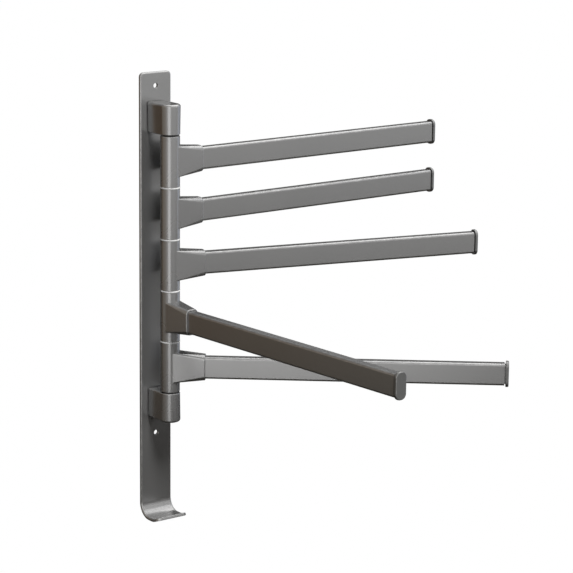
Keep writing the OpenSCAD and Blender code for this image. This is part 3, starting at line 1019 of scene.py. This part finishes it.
# %% Draw the five arms
arm_wall = 1.5 * MM
cap_gap = 1.4 * MM
arm_corner_steps = 8
for number, swing in enumerate(swings, 1):
    tube = as_object(f"arm_{number}_tube", bmesh.new())
    run_tree(tube, tube_tree, {
        "Start": arm_low.x, "End": arm_high.x - cap_gap, "Height": arm_h, "Width": arm_w, "Wall": arm_wall,
        "Corner Radius": arm_corner, "Corner Steps": arm_corner_steps, "Place": swing["pos_m"],
        "Turn": (0, 0, arm_turn(swing)), "Metal": drawn_metal,
    })
    mark_edges(tube.data)
    face_outwards(tube.data)
    dress(tube, drawn_metal, swing["child"], [f"arm_{number}"])
print(f"arms: {arm_count} tubes, {len(tube.data.polygons)} faces each")

# %% [markdown]
# End caps
#
# A cap closes each tube: a flange that stands a little proud all round, with a softly rounded rim, and a
# hollow plug that is pushed into the tube. The tube stops just short of the flange, which leaves a dark
# line between them. A cap is one skin of rings, from the floor of the hollow, round the plug and the
# flange, to the outer face.

# %% Mould the caps
cap_w = cap_high.y - cap_low.y
cap_h = cap_high.z - cap_low.z
cap_corner = 5.5 * MM
cap_rim_r = 0.9 * MM
cap_back_edge = 0.25 * MM
cap_plug = 14 * MM
cap_plug_wall = 1.4 * MM
cap_plug_lead = 0.6 * MM
plug_inset = arm_wall + push_gap
plug_end = arm_high.x - cap_plug


def cap_shape():
    """An end cap in the arm's own space."""
    hollow = plug_inset + cap_plug_wall
    plug = [(hollow, arm_high.x), (hollow, plug_end), (plug_inset + cap_plug_lead / 2, plug_end),
            (plug_inset, plug_end + cap_plug_lead), (plug_inset, arm_high.x)]
    flange = [(inset, arm_high.x + depth) for inset, depth in rounding(cap_back_edge)]
    flange += [(inset, arm_reach - depth) for inset, depth in rounding(cap_rim_r)[::-1]]
    return skin(inset_rings(arm_w, arm_h, arm_corner, plug) + inset_rings(cap_w, cap_h, cap_corner, flange))


for number, swing in enumerate(swings, 1):
    cap = as_object(f"end_cap_{number}_moulded", cap_shape())
    dress(cap, cap_paint, swing["child"], [f"end_cap_{number}"], arm_matrix(swing))
print(f"caps: {cap_w / MM:.0f} by {cap_h / MM:.0f} mm, {len(cap.data.polygons)} faces each")

# %% [markdown]
# Washers and screws
#
# Thin off-white washers part the hubs, black ones sit at both ends of the stack, where their black is
# painted shade for the gaps, and four countersunk screws hold the brackets from behind the plate. They
# are rows of equal parts, so a second geometry tree repeats whatever mesh it is given: it places copies
# at an even step and realizes them.
# A small set screw under each socket grips its arm.

# %% Draw the tree of a row
row_tree, entry = new_group(
    "row_of_copies", "GeometryNodeTree",
    {"Geometry": "Geometry", "Count": "Int", "Step": "Vector", "Finish": "Material"},
    {"Geometry": "Geometry"})
spots = node(row_tree, "GeometryNodeMeshLine", [("Count", entry["Count"]), ("Offset", entry["Step"])],
             mode="OFFSET")
copies = node(row_tree, "GeometryNodeInstanceOnPoints", [("Points", spots), ("Instance", entry["Geometry"])])
end_tree(row_tree, copies, entry["Finish"])
print("tree:", row_tree.name)

# %% Turn the washers
washer_edge = 0.15 * MM
washer_gap = 0.15 * MM


def washer_shape(inner, outer, height):
    """A flat ring about Z with broken edges, centred on height zero."""
    half = height / 2
    edge = washer_edge
    profile = [(inner, edge - half), (inner + edge, -half), (outer - edge, -half), (outer, edge - half),
               (outer, half - edge), (outer - edge, half), (inner + edge, half), (inner, half - edge)]
    return skin(round_rings(profile, round_steps), closed=True)


def washer_row(name, nodes_replaced, finish):
    """A row of equal washers that stands for these nodes, counted from the first to the last."""
    boxes = [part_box(n) for n in nodes_replaced]
    low, high = boxes[0]
    row = as_object(name, washer_shape(rod_r + washer_gap, (high.x - low.x) / 2, high.z - low.z))
    mark_places(row.data)
    row.data.transform(Matrix.Translation((low + high) / 2))
    step = (boxes[-1][0] - low) / (len(boxes) - 1)
    run_tree(row, row_tree, {"Count": len(boxes), "Step": step, "Finish": finish})
    dress(row, finish, WALL_BODY, nodes_replaced)
    print(f"{name}: {len(boxes)} washers, {-step.z / MM:.1f} mm apart")


washer_row("light_washers", [f"washer_{i}" for i in range(1, arm_count)], acetal)
# These washers are black as painted shade for the end gaps of the stack.
washer_row("thrust_washers", ["top_thrust_washer", "bottom_thrust_washer"], black_nylon_gap_shade)

# %% Shape a screw
screw_edge = 0.2 * MM
driver_share = 0.55
driver_r = bracket_screw_r * driver_share
driver_depth = bracket_head_h / 2
screw_steps = 48


def hex_ring(radius, height):
    """A hexagon with as many points as a round ring."""
    ring = []
    for i in range(screw_steps):
        turn = 2 * math.pi * i / screw_steps
        reach = radius * math.cos(math.pi / 6) / math.cos(turn % (math.pi / 3) - math.pi / 6)
        ring.append(Vector((reach * math.cos(turn), reach * math.sin(turn), height)))
    return ring


def screw_shape(profile):
    """A screw along Z with a hexagonal recess in its head, through (radius, height) pairs from its head."""
    head_z = profile[0][1]
    recess = [hex_ring(driver_r, head_z + driver_depth), hex_ring(driver_r, head_z)]
    return skin(recess + round_rings(profile, screw_steps))


print(f"screws: {2 * driver_r / MM:.1f} mm hexagons in their heads")

# %% Cut the bracket screws
head_rim = 0.1 * MM
thread_pitch = 0.7 * MM
thread_depth = 0.22 * MM
thread_root_r = bracket_screw_r - thread_depth
thread_root_share = 0.4
screw_profile = [(bracket_head_r - screw_edge, 0), (bracket_head_r, head_rim),
                 (bracket_screw_r, bracket_head_h)]
for i in range(int(bracket_screw_grip / thread_pitch)):
    crest = plate_t + (i + 0.5) * thread_pitch
    screw_profile += [(thread_root_r, crest - thread_pitch * thread_root_share), (bracket_screw_r, crest)]
screw_profile += [(thread_root_r, plate_t + bracket_screw_grip)]
screws = as_object("bracket_screw_set", screw_shape(screw_profile))
mark_places(screws.data)
at_lowest = Matrix.Translation((0, 0, min(bracket_screw_heights)))
screws.data.transform(at_lowest @ Matrix.Rotation(math.pi / 2, 4, "X"))
screw_pitch = bracket_h * (bracket_screw_shares[1] - bracket_screw_shares[0])
bracket_pitch = bracket_boxes[0][0].z - bracket_boxes[1][0].z
for pitch in (screw_pitch, bracket_pitch):
    run_tree(screws, row_tree, {"Count": 2, "Step": (0, 0, pitch), "Finish": zinc_steel})
dress(screws, zinc_steel, WALL_BODY, ["bracket_screws"])
print(f"bracket screws: {len(screws.data.polygons)} faces")

# %% Cut the set screws
set_screw_point = 0.3 * MM
for number, swing in enumerate(swings, 1):
    low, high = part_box(f"set_screw_{number}")
    set_screw_len = high.z - low.z
    grub = as_object(f"set_screw_{number}_grub", screw_shape([
        (set_screw_r - screw_edge, -set_screw_len), (set_screw_r, screw_edge - set_screw_len),
        (set_screw_r, -set_screw_point), (set_screw_r - set_screw_point, 0)]))
    under_arm = arm_matrix(swing) @ Matrix.Translation((set_screw_x, 0, -arm_h / 2))
    dress(grub, zinc_steel, swing["child"], [f"set_screw_{number}"], under_arm)
print(f"set screws: {arm_count}, {set_screw_len / MM:.1f} mm long")

# %% [markdown]
# Pivot rod
#
# The rod runs through all five hubs into blind bores in both brackets. Its solid is already right, so it
# stays and only takes a turned steel finish, whose fine lines run round it.

# %% Finish the rod
rod = frame["nodes"]["pivot_rod"]
rod.data.materials.clear()
rod.data.materials.append(turned_steel)
print(f"rod: {2 * rod_r / MM:.0f} mm thick, {(rod_high.z - rod_low.z) / MM:.1f} mm long")
